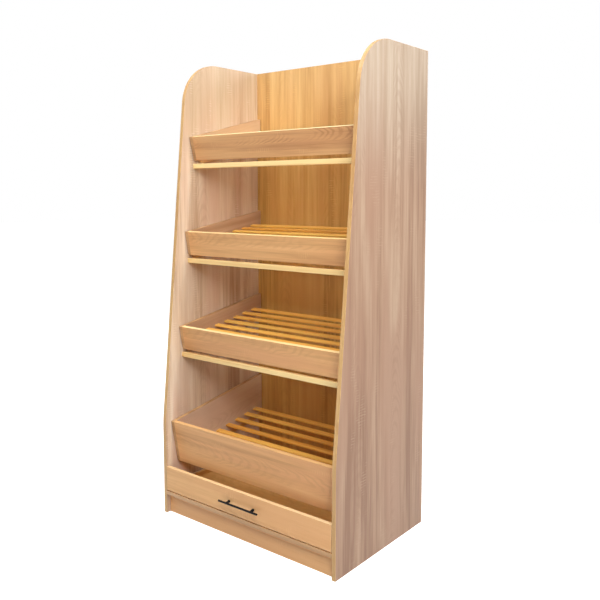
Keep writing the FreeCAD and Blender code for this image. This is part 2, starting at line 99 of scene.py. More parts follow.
def linear(colour: Rgb) -> tuple[float, float, float, float]:
    """Turn a display colour of 0 to 255 into the linear colour that shaders use.

    Args:
        colour: red, green and blue as a screen shows them.

    Returns:
        Linear red, green, blue and a full alpha.
    """
    share = np.array(colour) / 255
    curve = np.where(share > 0.04045, ((share + 0.055) / 1.055) ** 2.4, share / 12.92)
    return (*map(float, curve), 1.0)


# --- surfaces
def easing(low: float, high: float, ease: float, steps: int = 3) -> tuple[Array, Array]:
    """Quarter circles that round a section at both of its ends.

    Args:
        low: lower end.
        high: upper end.
        ease: radius of the rounding.
        steps: facets in each quarter circle.

    Returns:
        Places from low to high, and how far the section is drawn in at each.
    """
    turn = np.linspace(0, math.pi / 2, steps + 1)
    reach = ease * (1 - np.sin(turn))
    inset = ease * (1 - np.cos(turn))
    return (np.concatenate([low + reach[::-1], high - reach]),
            np.concatenate([inset[::-1], inset]))


def eased_bar(low: Corner, high: Corner, ease: float, run: Grain = Grain.ACROSS,
              steps: int = 3) -> Rings:
    """Rounded rectangles around a straight bar whose twelve edges are all rounded.

    Args:
        low: one corner.
        high: the corner across the bar from it.
        ease: radius of the rounding.
        run: axis that the rings follow each other along.
        steps: facets in each quarter circle.

    Returns:
        The rings.
    """
    low, high = np.sort([low, high], axis=0)
    half = (high - low) / 2
    along, drawn = easing(-half[run.value], half[run.value], ease, steps)
    inset = drawn[:, None]
    corner = ease - CORNER_LOSS * inset
    turn = np.linspace(0, math.pi / 2, steps + 1)
    angle = (np.arange(4)[:, None] * math.pi / 2 + turn).ravel()
    sign_a, sign_b = np.repeat([[1, -1, -1, 1], [1, 1, -1, -1]], steps + 1, axis=1)
    first, second = (run.value + 1) % 3, (run.value + 2) % 3
    rings = np.empty((len(along), len(angle), 3))
    rings[..., run.value] = along[:, None]
    rings[..., first] = sign_a * (half[first] - inset - corner) + corner * np.cos(angle)
    rings[..., second] = sign_b * (half[second] - inset - corner) + corner * np.sin(angle)
    return rings + (low + high) / 2


def turned(profile: Array, origin: Point, axis: Grain, around: int) -> Rings:
    """Rings of a lathe-turned form: each (place along the axis, radius) swept full circle.

    Args:
        profile: array of (rings, 2), place along the axis and radius.
        origin: point on the axis from which places are measured.
        axis: direction of the axis.
        around: points in each ring.

    Returns:
        The rings.
    """
    angle = np.linspace(0, 2 * math.pi, around, endpoint=False)
    first, second = (axis.value + 1) % 3, (axis.value + 2) % 3
    rings = np.empty((len(profile), around, 3))
    rings[..., axis.value] = profile[:, :1]
    rings[..., first] = profile[:, 1:] * np.cos(angle)
    rings[..., second] = profile[:, 1:] * np.sin(angle)
    return rings + origin


def fillet(before: Array, corner: Array, after: Array, radius: float, steps: int) -> Array:
    """Arc that rounds a corner of an outline.

    It starts and ends radius / tan(half angle) from the corner, and its points are the centre
    plus radius times a direction that turns evenly from one tangent point to the other.

    Args:
        before: neighbouring corner on one side.
        corner: the corner itself.
        after: neighbouring corner on the other side.
        radius: radius of the arc.
        steps: facets of the arc.

    Returns:
        Array of (steps + 1, 2).
    """
    arms = np.array([before, after]) - corner
    arms /= np.linalg.norm(arms, axis=1, keepdims=True)
    half_angle = math.acos(arms[0] @ arms[1]) / 2
    middle = arms.sum(axis=0)
    centre = corner + middle / np.linalg.norm(middle) * radius / math.sin(half_angle)
    start, end = corner + arms * radius / math.tan(half_angle) - centre
    span = math.pi - 2 * half_angle
    turn = np.linspace(0, span, steps + 1)[:, None]
    return centre + (np.sin(span - turn) * start + np.sin(turn) * end) / math.sin(span)


def shell_faces(rings: Rings, first: int) -> list[list[int]]:
    """Faces of a closed shell on a grid of rings, turned so that they point outwards.

    Neighbouring rings are joined by four-sided faces and the end rings are capped. The shell's
    signed volume tells which way it faces.

    Args:
        rings: the shell.
        first: number of the shell's first point in the mesh.

    Returns:
        Lists of point numbers.
    """
    count, around = rings.shape[:2]
    number = np.arange(count * around).reshape(count, around)
    following = np.roll(number, -1, axis=1)
    quads = np.stack([number[:-1], following[:-1], following[1:], number[1:]], -1).reshape(-1, 4)
    points = rings.reshape(-1, 3) - rings.mean(axis=(0, 1))
    corners = points[quads]
    normals = np.cross(corners[:, 1], corners[:, 2]) + np.cross(corners[:, 2], corners[:, 3])
    volume = (corners[:, 0] * normals).sum()
    faces = (quads + first).tolist()
    for end in (number[0][::-1], number[-1]):
        ring = points[end]
        volume += np.cross(ring, np.roll(ring, -1, axis=0)).sum(axis=0) @ ring[0]
        faces.append((end + first).tolist())
    return faces if volume > 0 else [face[::-1] for face in faces]


def solid_boxes(node: str) -> list[tuple[Array, Array]]:
    """Box of each separate solid in a node, in the order of their lowest X.

    Points at the same place are merged, and every triangle gives its points its lowest label
    until no label changes, so that each connected solid ends with a label of its own.

    Args:
        node: name of the node.

    Returns:
        (lowest corner, highest corner) of each solid.
    """
    mesh = frame["nodes"][node].data
    mesh.calc_loop_triangles()
    places = np.array([vertex.co for vertex in mesh.vertices])
    points, merged = np.unique(places.round(6), axis=0, return_inverse=True)
    triangles = merged.ravel()[np.array([each.vertices for each in mesh.loop_triangles])]
    label = np.arange(len(points))
    while True:
        before = label.copy()
        np.minimum.at(label, triangles.ravel(), label[triangles].min(axis=1).repeat(3))
        label = label[label]
        if (label == before).all():
            break
    groups = [points[label == value] for value in np.unique(label)]
    return [(group.min(axis=0), group.max(axis=0)) for group in groups]


def dress(piece: Object, *materials: Material) -> None:
    """Give a piece its materials in place of any that it has.

    Args:
        piece: the piece or CAD node.
        materials: one for each material index.
    """
    piece.data.materials.clear()
    for material in materials:
        piece.data.materials.append(material)


def make_piece(name: str, shells: list[Rings], body: str, slot: str, node: str,
               *materials: Material) -> Object:
    """Put shells into one dressed mesh, and let it ride on a body in place of a CAD node.

    Args:
        name: name of the piece.
        shells: its closed surfaces.
        body: body that the piece moves with.
        slot: the record's material slot; not used.
        node: CAD node that the piece stands for.
        materials: one for each material index.

    Returns:
        The piece.
    """
    mesh = bpy.data.meshes.new(name)
    faces: list[list[int]] = []
    first = 0
    for shell in shells:
        faces += shell_faces(shell, first)
        first += shell.shape[0] * shell.shape[1]
    points = np.concatenate([shell.reshape(-1, 3) for shell in shells])
    mesh.from_pydata(points.tolist(), [], faces)
    mesh.update()
    piece = bpy.data.objects.new(name, mesh)
    bpy.context.scene.collection.objects.link(piece)
    dress(piece, *materials)
    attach(piece, body)
    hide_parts(node)
    LOG.info("%s: %d points, %d faces, on %s", name, len(points), len(faces), body)
    return piece


def smooth(piece: Object, sharp_angle: float) -> None:
    """Shade a piece smoothly, except over edges sharper than an angle in degrees.

    Args:
        piece: the piece.
        sharp_angle: least angle of an edge that stays sharp.
    """
    piece.data.shade_smooth()
    piece.data.set_sharp_from_angle(angle=math.radians(sharp_angle))
    modifier = piece.modifiers.new("flat_faces_stay_flat", "WEIGHTED_NORMAL")
    modifier.keep_sharp = True


# --- finishes
@dataclass(frozen=True)
class Noise:
    """A noise stretched along the grain.

    Across and along are its waves in a metre, detail its octaves, roughness the strength of the
    fine ones. Patches of it fade in between low and high.
    """

    across: float
    along: float
    detail: float = 2.0
    roughness: float = 0.5
    low: float = 0.0
    high: float = 1.0


# STREAKS has the share of each layer of the print in front.
STREAKS = ((1.0, Noise(9.0, 0.6, 1.0)), (1.0, Noise(30.0, 1.3)),
           (0.6, Noise(95.0, 3.0, 3.0)), (0.3, Noise(260.0, 9.0)))
STAVE_BEND = Noise(1.5, 1.5)
ARC_RIPPLE = Noise(16.0, 6.0, 3.0)
ARC_PATCHES = Noise(10.0, 2.6, low=0.39, high=0.58)
SAW_WANDER = Noise(14.0, 9.0)
SAW_CLUSTERS = Noise(19.0, 6.5, 1.0, low=0.58, high=0.7)
SAW_BREAKS = Noise(40.0, 60.0, 1.0, low=0.35, high=0.6)
WARM_BANDS = Noise(9.0, 0.9, low=0.44, high=0.62)
PORES = Noise(330.0, 13.0, low=0.58, high=0.72)
PRINT_RELIEF = Noise(120.0, 2.0)
LATH_TONES = Noise(17.0, 0.4, 1.0)
LATH_LINES = Noise(260.0, 2.2, 4.0, 0.6)
KNOTS = Noise(30.0, 9.0, 1.0, low=0.72, high=0.8)
METAL_CLOUDS = Noise(90.0, 60.0, 3.0, low=0.35, high=0.75)
METAL_SPECKS = Noise(900.0, 700.0)

# How far the noises bend things: staves in their breadths, arcs and saw marks in radians.
STAVE_SWAY, ARC_SWAY, SAW_SWAY = 0.3, 22.0, 9.0
ARC_REACH = 46.0  # radians by which an arc lags, for a stave's breadth squared
ARC_LINE, SAW_LINE = (-0.4, 1.0), (0.1, 0.9)  # values of the sine over which a line fades in
STAVE_EDGE = (0.5, 0.38)  # breadths from a stave's middle over which its arcs fade in
SAW_PITCH = 620.0  # radians in a metre
WARMTH, PORE_SHARE, KNOT_SHARE = 0.75, 0.2, 0.5
PAINTED_LIGHT_HEIGHTS = (1.3, 1.85)  # heights over which tall boards take painted light and shade at their top
PAINTED_LIGHT_STREAKS = {0.0: (0.91, 0.87, 0.81), 0.5: (1.0, 1.0, 1.0), 1.0: (1.07, 1.1, 1.14)}
PRINT_STOPS, LATH_STOPS = (0.0, 0.5, 1.0), (0.45, 0.66, 0.9)
LATH_TONE_SHARE, LATH_LINE_SHARE = 0.8, 0.55
COAT_ROUGHNESS = 0.3
WHITE = (1.0, 1.0, 1.0, 1.0)


class NodeSheet:
    """The nodes of a material or world, with a short method for each kind that is needed."""

    def __init__(self, owner: Material | bpy.types.World) -> None:
        """Switch the nodes on and find the shader.

        Args:
            owner: the new material or world.
        """
        owner.use_nodes = True
        self.owner = owner
        self.tree = owner.node_tree
        nodes = self.tree.nodes
        self.shader = nodes.get("Principled BSDF") or nodes["Background"]

    def fill(self, node: bpy.types.Node, inputs: dict[str | int, Value]) -> None:
        """Link other nodes' outputs to a node's inputs, or set the inputs' own values.

        Args:
            node: the node.
            inputs: value or output for each input's name or number.
        """
        for key, value in inputs.items():
            if isinstance(value, Socket):
                self.tree.links.new(value, node.inputs[key])
            else:
                node.inputs[key].default_value = value

    def add(self, kind: str, inputs: dict[str | int, Value]) -> bpy.types.Node:
        """Add a node and fill its inputs.

        Args:
            kind: Blender's name of the node type, without ShaderNode in front.
            inputs: value or output for each input's name or number.

        Returns:
            The node.
        """
        node = self.tree.nodes.new(f"ShaderNode{kind}")
        self.fill(node, inputs)
        return node

    def seen(self) -> Socket:
        """1 for rays from the camera, straight or by gloss or glass, and 0 for all others."""
        rays = self.add("LightPath", {}).outputs
        seen = self.calc("MAXIMUM", rays["Is Camera Ray"], rays["Is Glossy Ray"])
        return self.calc("MAXIMUM", seen, rays["Is Transmission Ray"])

    def lay_wood(self, lay: Lay) -> None:
        """Turn Object coordinates so that the last one runs along the grain, and keep them.

        Args:
            lay: how the board lies.
        """
        self.place = self.add("TexCoord", {}).outputs["Object"]
        level = self.add("Mapping", {"Vector": self.place, "Location": lay.offset,
                                     "Rotation": (-math.radians(lay.tilt), 0, 0)})
        parts = self.add("SeparateXYZ", {0: level.outputs[0]}).outputs
        grain = lay.grain.value
        first, second, self.along = parts[(grain + 1) % 3], parts[(grain + 2) % 3], parts[grain]
        self.across = self.calc("ADD", first, second)
        self.space = self.add("CombineXYZ", {0: first, 1: second, 2: self.along}).outputs[0]

    def noise(self, kind: Noise) -> Socket:
        """Noise of one kind.

        Args:
            kind: its waves and octaves.

        Returns:
            Value about 0 to 1.
        """
        stretch = self.add("VectorMath", {0: self.space, 1: (kind.across, kind.across,
                                                             kind.along)})
        stretch.operation = "MULTIPLY"
        return self.add("TexNoise", {
            "Vector": stretch.outputs[0], "Scale": 1.0, "Detail": kind.detail,
            "Roughness": kind.roughness}).outputs[0]

    def patches(self, kind: Noise, top: float = 1.0) -> Socket:
        """Patches where a noise is high.

        Args:
            kind: the noise.
            top: value within the patches.

        Returns:
            Value from 0 to top.
        """
        return self.between(self.noise(kind), kind.low, kind.high, top)

    def calc(self, operation: str, first: Value, second: Value = 0.0) -> Socket:
        """One sum on two values or outputs.

        Args:
            operation: Blender's name of the operation.
            first: first value or output.
            second: second value or output.

        Returns:
            The result.
        """
        node = self.add("Math", {0: first, 1: second})
        node.operation = operation
        return node.outputs[0]

    def between(self, value: Socket, low: float, high: float, top: float = 1.0) -> Socket:
        """Smooth step from 0 at low to top at high.

        Args:
            value: the value.
            low: value that gives 0.
            high: value that gives top.
            top: highest result.

        Returns:
            The result.
        """
        node = self.add("MapRange", {"Value": value, "From Min": low, "From Max": high,
                                     "To Max": top})
        node.interpolation_type = "SMOOTHSTEP"
        return node.outputs[0]

    def ramp(self, value: Socket, stops: dict[float, Rgb]) -> Socket:
        """Colour looked up between stops.

        Args:
            value: place between the stops.
            stops: colour at each place.

        Returns:
            The colour.
        """
        node = self.add("ValToRGB", {0: value})
        elements = node.color_ramp.elements
        while len(elements) < len(stops):
            elements.new(0.5)
        for element, place in zip(elements, sorted(stops)):
            element.position = place
            element.color = linear(stops[place])
        return node.outputs[0]

    def mix(self, share: Value, first: Value, second: Value) -> Socket:
        """Blend of two colours.

        Args:
            share: how much of the second.
            first: colour or output.
            second: colour or output.

        Returns:
            The colour.
        """
        node = self.add("Mix", {})
        node.data_type = "RGBA"
        self.fill(node, {0: share, 6: first, 7: second})
        return node.outputs[2]

    def finish(self, colour: Value, roughness: Value, height: Socket, depth: float,
               metallic: float = 0.0, coat: float = 0.0, specular: float = 0.5) -> None:
        """Join colour, roughness and relief to the surface shader.

        Args:
            colour: colour or output.
            roughness: value or output.
            height: output that gives the relief.
            depth: metres of relief.
            metallic: 0 or 1.
            coat: weight of the clear coat.
            specular: level of the plain reflection, 0.5 for most surfaces.
        """
        bump = self.add("Bump", {"Height": height, "Strength": 1.0, "Distance": depth})
        self.fill(self.shader, {
            "Base Color": colour, "Roughness": roughness, "Metallic": metallic,
            "Specular IOR Level": specular, "Coat Weight": coat,
            "Coat Roughness": COAT_ROUGHNESS, "Normal": bump.outputs[0]})


@dataclass(frozen=True)
class Finish:
    """A procedural finish, from which each piece gets a material that suits how it lies."""

    name: str

    def material(self, lay: Lay) -> Material:
        """Make the material for pieces that lie one way.

        Args:
            lay: how they lie.

        Returns:
            The material.
        """
        sheet = NodeSheet(bpy.data.materials.new(self.name))
        sheet.lay_wood(lay)
        self.paint(sheet)
        return sheet.owner

    def paint(self, sheet: NodeSheet) -> None:
        """Add the nodes that the kind of finish has.

        Args:
            sheet: the material's nodes.
        """
        raise NotImplementedError


@dataclass(frozen=True)
class SawnOakPrint(Finish):
    """Pale oak print on satin melamine, with the short cross marks of a saw.

    Figure and saw_marks are the strongest share of the dark and of the pale colour, stave and
    stroke a stave's breadth and the distance between figure lines. Tall boards take painted light
    and shade at the top: by the share bleach they turn to streaks around the
    bleached colour, paler on the outer faces, darker on the inner ones and less golden on
    the back board, as the lamps fall on each. Rear is a dark, body and pale colour for a back
    board's rear face.
    """

    pale: Rgb
    body: Rgb
    dark: Rgb
    blush: Rgb
    contrast: float = 1.0
    figure: float = 0.25
    saw_marks: float = 0.2
    stave: float = 0.085
    stroke: float = 0.05
    roughness: float = 0.48
    bleached: Rgb = (230, 215, 196)
    bleach: float = 0.0
    rear: tuple[Rgb, Rgb, Rgb] | None = None
    relief: float = 0.12 * MM

    def tone(self, sheet: NodeSheet) -> Socket:
        """Streaks along the grain, from broad soft bands to fine lines.

        Each layer is noise stretched along the grain, less its mean, times its share; the
        layers' sum is 0.5 on average.

        Args:
            sheet: the material's nodes.

        Returns:
            Value about 0 to 1.
        """
        tone = 0.5
        for share, kind in STREAKS:
            layer = sheet.calc("SUBTRACT", sheet.noise(kind), 0.5)
            tone = sheet.calc("ADD", tone, sheet.calc("MULTIPLY", layer, share * self.contrast))
        return tone

    def arcs(self, sheet: NodeSheet) -> Socket:
        """Plain-sawn figure on every third of the staves that the print is made of.

        Nested arcs: the sine of (place along the grain + reach * place across the stave
        squared), bent by noise, fading towards the stave's edges and in patches.

        Args:
            sheet: the material's nodes.

        Returns:
            Share of the dark colour.
        """
        calc = sheet.calc
        bend = calc("MULTIPLY", sheet.noise(STAVE_BEND), STAVE_SWAY)
        stave = calc("ADD", calc("DIVIDE", sheet.across, self.stave), bend)
        place = calc("SUBTRACT", calc("FRACT", stave), 0.5)
        arc = calc("MULTIPLY", calc("MULTIPLY", place, place), ARC_REACH)
        ripple = calc("MULTIPLY", sheet.noise(ARC_RIPPLE), ARC_SWAY)
        turns = calc("MULTIPLY", sheet.along, 2 * math.pi / self.stroke)
        phase = calc("ADD", calc("ADD", turns, arc), ripple)
        lines = sheet.between(calc("SINE", phase), *ARC_LINE)
        third = calc("FLOORED_MODULO", calc("FLOOR", stave), 3.0)
        figured = sheet.between(third, 0.6, 0.4, self.figure)
        inside = sheet.between(calc("ABSOLUTE", place), *STAVE_EDGE)
        patchy = sheet.patches(ARC_PATCHES)
        return calc("MULTIPLY", lines, calc("MULTIPLY", calc("MULTIPLY", figured, inside), patchy))

    def cross_marks(self, sheet: NodeSheet) -> Socket:
        """Saw marks: a comb of short pale lines across the grain, in small clusters.

        Args:
            sheet: the material's nodes.

        Returns:
            Share of the pale colour.
        """
        calc = sheet.calc
        wander = calc("MULTIPLY", sheet.noise(SAW_WANDER), SAW_SWAY)
        comb = calc("SINE", calc("ADD", calc("MULTIPLY", sheet.along, SAW_PITCH), wander))
        cluster = sheet.patches(SAW_CLUSTERS, self.saw_marks)
        lines = calc("MULTIPLY", sheet.between(comb, *SAW_LINE), cluster)
        return calc("MULTIPLY", lines, sheet.patches(SAW_BREAKS))

    def paint(self, sheet: NodeSheet) -> None:
        """Print of one board.

        The tone sets the colour between dark and pale, a slow second noise turns some bands
        towards the blush colour, painted light and shade change it with height, and figure, pores
        and saw marks lie over that.

        Args:
            sheet: the material's nodes.
        """
        tone = self.tone(sheet)
        colour = sheet.ramp(tone, dict(zip(PRINT_STOPS, (self.dark, self.body, self.pale))))
        colour = sheet.mix(sheet.patches(WARM_BANDS, WARMTH), colour, linear(self.blush))
        place = sheet.add("SeparateXYZ", {0: sheet.place}).outputs
        # painted light and shade: towards its top a tall board turns to streaks around the
        # bleached colour
        painted_top = sheet.ramp(tone, {spot: tuple(np.multiply(self.bleached, share))
                                  for spot, share in PAINTED_LIGHT_STREAKS.items()})
        colour = sheet.mix(sheet.between(place[2], *PAINTED_LIGHT_HEIGHTS, self.bleach), colour, painted_top)
        if self.rear is not None:
            low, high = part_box("back_panel")
            middle = (low.y + high.y) / 2
            behind = sheet.between(place[1], middle - MM, middle + MM)
            rear = sheet.ramp(tone, dict(zip(PRINT_STOPS, self.rear)))
            colour = sheet.mix(behind, colour, rear)
        colour = sheet.mix(self.arcs(sheet), colour, linear(self.dark))
        pores = sheet.patches(PORES, PORE_SHARE)
        colour = sheet.mix(pores, colour, linear(self.dark))
        colour = sheet.mix(self.cross_marks(sheet), colour, linear(self.pale))
        height = sheet.calc("SUBTRACT", sheet.noise(PRINT_RELIEF), pores)
        sheet.finish(colour, self.roughness, height, self.relief)


@dataclass(frozen=True)
class PlanedLath(Finish):
    """Planed softwood with fine straight grain under a satin varnish."""

    pale: Rgb
    body: Rgb
    dark: Rgb
    roughness: float = 0.45
    coat: float = 0.15
    relief: float = 0.2 * MM

    def paint(self, sheet: NodeSheet) -> None:
        """Fine lines on slowly changing tones, with a few knots.

        Args:
            sheet: the material's nodes.
        """
        lines = sheet.noise(LATH_LINES)
        tone = sheet.calc("ADD",
                          sheet.calc("MULTIPLY", sheet.noise(LATH_TONES), LATH_TONE_SHARE),
                          sheet.calc("MULTIPLY", lines, LATH_LINE_SHARE))
        colour = sheet.ramp(tone, dict(zip(LATH_STOPS, (self.dark, self.body, self.pale))))
        colour = sheet.mix(sheet.patches(KNOTS, KNOT_SHARE), colour, linear(self.dark))
        sheet.finish(colour, self.roughness, lines, self.relief, coat=self.coat)


@dataclass(frozen=True)
class Metal(Finish):
    """Plated or coated metal with a faintly uneven sheen."""

    colour: Rgb
    worn: Rgb
    roughness: float
    metallic: float
    specular: float = 0.5
    sheen_spread: float = 0.12
    relief: float = 0.03 * MM

    def paint(self, sheet: NodeSheet) -> None:
        """Clouds in colour and sheen, and fine specks.

        Args:
            sheet: the material's nodes.
        """
        cloud = sheet.noise(METAL_CLOUDS)
        worn = sheet.between(cloud, METAL_CLOUDS.low, METAL_CLOUDS.high)
        colour = sheet.mix(worn, linear(self.colour), linear(self.worn))
        spread = sheet.calc("MULTIPLY", cloud, self.sheen_spread)
        sheet.finish(colour, sheet.calc("ADD", self.roughness, spread),
                     sheet.noise(METAL_SPECKS), self.relief, self.metallic,
                     specular=self.specular)


# The side boards' outer and inner faces carry one print in two copies: the inner copy is much
# paler, painted light on the faces inside the rack.
FACE_OAK = SawnOakPrint("pale_oak_outer_face", (182, 153, 127), (165, 131, 105),
                        (139, 103, 78), (162, 124, 99), 2.0, saw_marks=0.4,
                        bleached=(184, 167, 143), bleach=0.65)
LIT_INNER_OAK = SawnOakPrint("oak_inner_face_painted_light", (233, 218, 198), (214, 191, 165),
                         (179, 147, 120), (211, 179, 156), 1.35, saw_marks=0.3,
                         bleached=(182, 158, 124), bleach=0.65)
BACK_OAK = SawnOakPrint("golden_oak_back", (231, 192, 117), (207, 160, 85), (165, 118, 49),
                        (203, 151, 81), 1.25, figure=0.15, saw_marks=0.3,
                        bleached=(198, 161, 116), bleach=0.5,
                        rear=((167, 130, 95), (199, 166, 128), (226, 199, 162)))
FRONT_OAK = SawnOakPrint("oak_cross_board", (251, 206, 148), (233, 182, 123), (200, 144, 90),
                         (229, 172, 117), figure=0.3, saw_marks=0.35)
TRAY_OAK = SawnOakPrint("oak_tray_front", (249, 202, 142), (231, 177, 118), (191, 134, 81),
                        (229, 169, 116), figure=0.28, saw_marks=0.25)
TOP_TRAY_OAK = SawnOakPrint("figured_oak_tray_front", (236, 190, 132), (217, 164, 110),
                            (173, 116, 71), (215, 157, 108), figure=0.6, saw_marks=0.3,
                            stave=0.058, stroke=0.03)
TRAY_SIDE_OAK = SawnOakPrint("oak_tray_side", (216, 189, 157), (195, 161, 131), (164, 126, 94),
                             (191, 152, 124), 0.8)
TOP_TRAY_SIDE_OAK = SawnOakPrint("golden_oak_tray_side", (204, 178, 145), (193, 163, 128),
                                 (173, 137, 99), (190, 154, 120), 0.6)
# The lowest tray's sides are a paler, greyer copy of the tray-side print: painted light where that
# tray sits in the rack's shade.
LIT_LOW_TRAY_SIDE_OAK = SawnOakPrint("oak_tray_side_painted_light", (232, 214, 190), (212, 187, 161),
                                 (181, 150, 122), (205, 174, 152), 0.8)
BOX_OAK = SawnOakPrint("oak_drawer_box", (233, 190, 124), (214, 166, 97), (177, 126, 64),
                       (202, 153, 87), 0.8, saw_marks=0.35)
EDGE_OAK = PlanedLath("oak_edge_band", (213, 175, 120), (200, 158, 101), (179, 132, 80))
BASE_EDGE = PlanedLath("base_edge_band", (204, 162, 116), (188, 144, 98), (160, 118, 76))
FRONT_EDGE = PlanedLath("drawer_edge_band", (246, 214, 166), (234, 198, 146), (214, 172, 120))
END_EDGE = PlanedLath("tray_end_band", (206, 162, 116), (186, 142, 98), (160, 116, 76))
SIDE_TOP_EDGE = PlanedLath("tray_side_top_band", (204, 164, 114), (188, 146, 98),
                           (162, 120, 76))
# The band on a tray front's top edge is painted far paler than the other bands, a painted
# highlight where light falls on the edge; the lowest tray's copy is a dimmer painted highlight.
TRAY_EDGE = PlanedLath("top_band_painted_highlight", (255, 234, 178), (255, 216, 150), (232, 186, 118))
LOW_TRAY_EDGE = PlanedLath("top_band_dim_painted_highlight", (228, 182, 124), (214, 164, 106),
                           (190, 140, 84))
STRETCHER_PINE = PlanedLath("pale_pine_stretcher", (248, 226, 164), (246, 214, 149),
                            (230, 185, 117))
BEARER_PINE = PlanedLath("bearer_pine", (240, 206, 156), (222, 182, 128), (190, 144, 92))
SLAT_PINE = PlanedLath("varnished_slat_pine", (250, 214, 111), (250, 190, 87), (215, 144, 53))
BEECH = PlanedLath("beech_dowel", (236, 204, 164), (218, 178, 132), (184, 140, 94))
ZINC = Metal("bright_zinc", (200, 203, 207), (168, 170, 174), 0.28, 1.0)
POWDER_COAT = Metal("matt_black_coat", (8, 7, 7), (16, 14, 13), 0.5, 0.0, 0.15)
ENAMEL = Metal("cream_enamel", (226, 224, 216), (210, 207, 198), 0.35, 0.0)
NYLON = Metal("white_nylon", (232, 231, 226), (218, 216, 210), 0.4, 0.0)

FINISH_OF_SLOT = {
    "oak_side_board": FACE_OAK, "oak_back_board": BACK_OAK, "oak_cross_board": FRONT_OAK,
    "oak_edge_band": EDGE_OAK, "pale_pine": STRETCHER_PINE, "bearer_pine": BEARER_PINE,
    "zinc": ZINC, "beech": BEECH, "tray_board": TRAY_OAK, "tray_edge_band": TRAY_EDGE,
    "slat_pine": SLAT_PINE, "drawer_board": BOX_OAK, "black_handle": POWDER_COAT,
    "runner_enamel": ENAMEL, "roller_nylon": NYLON,
}


# --- carcass
@dataclass
class SidePanel:
    """A side panel that leans back above its foot, with the band along its edge."""

    side: Side
    lean_start: float = 400 * MM
    lean: float = 0.1
    bend_radius: float = 600 * MM
    top_radius: float = 190 * MM
    band: float = 1 * MM
    band_ease: float = 0.7 * MM
    ease: float = 0.5 * MM
    arc_steps: int = 36
    print_shift: Point = (0.0, 0.5, 0.17)

    def __post_init__(self) -> None:
        """Take the panel's place from its node and its band's node."""
        panel_low, panel_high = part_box(f"{self.side.word}_side_panel")
        band_low, band_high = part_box(f"{self.side.word}_panel_edge_band")
        self.x = (panel_low.x, panel_high.x)
        self.front = band_low.y
        self.back = panel_high.y
        self.height = band_high.z

    def outline(self, inset: float, foot: float) -> Array:
        """Points of the panel's outline from its front foot over the top to its rear foot.

        Args:
            inset: how far the front and top edges are drawn in.
            foot: how far the bottom and rear edges are drawn in.

        Returns:
            Array of (points, 2), each its Y and Z.
        """
        stretch = math.hypot(1, self.lean)
        bend_z = self.lean_start + inset * (1 - stretch) / self.lean
        top_z = self.height - inset
        top_y = self.front + self.lean * (top_z - self.lean_start) + inset * stretch
        front_foot, bend, top, rear_top, rear_foot = np.array([
            (self.front + inset, foot), (self.front + inset, bend_z), (top_y, top_z),
            (self.back - foot, top_z), (self.back - foot, foot)])
        lower_arc = fillet(front_foot, bend, top, self.bend_radius - inset, self.arc_steps)
        upper_arc = fillet(bend, top, rear_top, self.top_radius - inset, self.arc_steps)
        return np.vstack([front_foot, lower_arc, upper_arc, rear_top, rear_foot])

    def panel_shell(self) -> Rings:
        """The board: its outline carried across its thickness, drawn in at both faces.

        Returns:
            The rings.
        """
        across, drawn = easing(*self.x, self.ease)
        flat = np.stack([self.outline(self.band + step, step) for step in drawn])
        rings = np.empty((*flat.shape[:2], 3))
        rings[..., 0] = across[:, None]
        rings[..., 1:] = flat
        return rings

    def band_shell(self) -> Rings:
        """The edge band: a thin section with rounded outer corners carried along the outline.

        Each ring is the outline's point moved inwards by the section's depth and across by
        its breadth.

        Returns:
            The rings.
        """
        path = self.outline(0.0, 0.0)[:-1]
        step = np.gradient(path, axis=0)
        tangent = step / np.linalg.norm(step, axis=1, keepdims=True)
        inward = np.column_stack([tangent[:, 1], -tangent[:, 0]])
        breadth, depth = easing(*self.x, self.band_ease)
        depth = np.pad(depth, 1, constant_values=self.band)[:, None]
        rings = np.empty((len(path), len(depth), 3))
        rings[..., 0] = np.pad(breadth, 1, mode="edge")
        rings[..., 1:] = path[:, None] + inward[:, None] * depth
        return rings

    def build(self) -> None:
        """Make the board and its band, and dress them."""
        word = self.side.word
        lay = Lay(Grain.UPRIGHT, offset=tuple(np.multiply(self.print_shift, self.side.value)))
        board = make_piece(f"{word}_side_board", [self.panel_shell()], "carcass",
                           "oak_side_board", f"{word}_side_panel", FACE_OAK.material(lay),
                           LIT_INNER_OAK.material(lay))
        # faces that look into the rack take the paler copy of the print: painted light
        for face in board.data.polygons:
            face.material_index = int(face.normal.x * self.side.value < -0.5)
        make_piece(f"{word}_side_edge_strip", [self.band_shell()], "carcass", "oak_edge_band",
                   f"{word}_panel_edge_band", EDGE_OAK.material(lay))


@dataclass
class Carcass:
    """The rack's fixed boards and laths."""

    ease: float = 0.5 * MM
    lath_ease: float = 1.5 * MM
    strip_ease: float = 0.4 * MM

    def build(self) -> None:
        """Make the side panels, base, plinth, stretchers and edge strips."""
        for side in Side:
            SidePanel(side).build()
        boards = [("base_shelf", "base_board", "oak_cross_board", self.ease, (0.2, 0.1, 0.4)),
                  ("plinth", "plinth_board", "oak_cross_board", self.ease, (0.9, 0.3, 0.1))]
        boards += [(f"{level}_lath", f"{level}_stretcher", "pale_pine", self.lath_ease,
                    (0.37 * order, 0.2, 0.3))
                   for order, level in enumerate(("top", "middle", "lower"))]
        for name, node, slot, ease, offset in boards:
            make_piece(name, [eased_bar(*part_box(node), ease)], "carcass", slot, node,
                       FINISH_OF_SLOT[slot].material(Lay(offset=offset)))
        base_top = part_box("base_board")[1].z
        for low, high in solid_boxes("board_edge_bands"):
            word, finish = ("base", BASE_EDGE) if low[2] < base_top else ("back", EDGE_OAK)
            make_piece(f"{word}_edge_strip", [eased_bar(low, high, self.strip_ease)],
                       "carcass", "oak_edge_band", "board_edge_bands", finish.material(Lay()))


# --- trays
# Tilt in degrees and height of each tray's front board, from the top tray down.
TRAYS = ((14.0, 100 * MM), (10.0, 100 * MM), (10.0, 100 * MM), (10.0, 180 * MM))
TOP_TRAY, LOW_TRAY = 1, len(TRAYS)


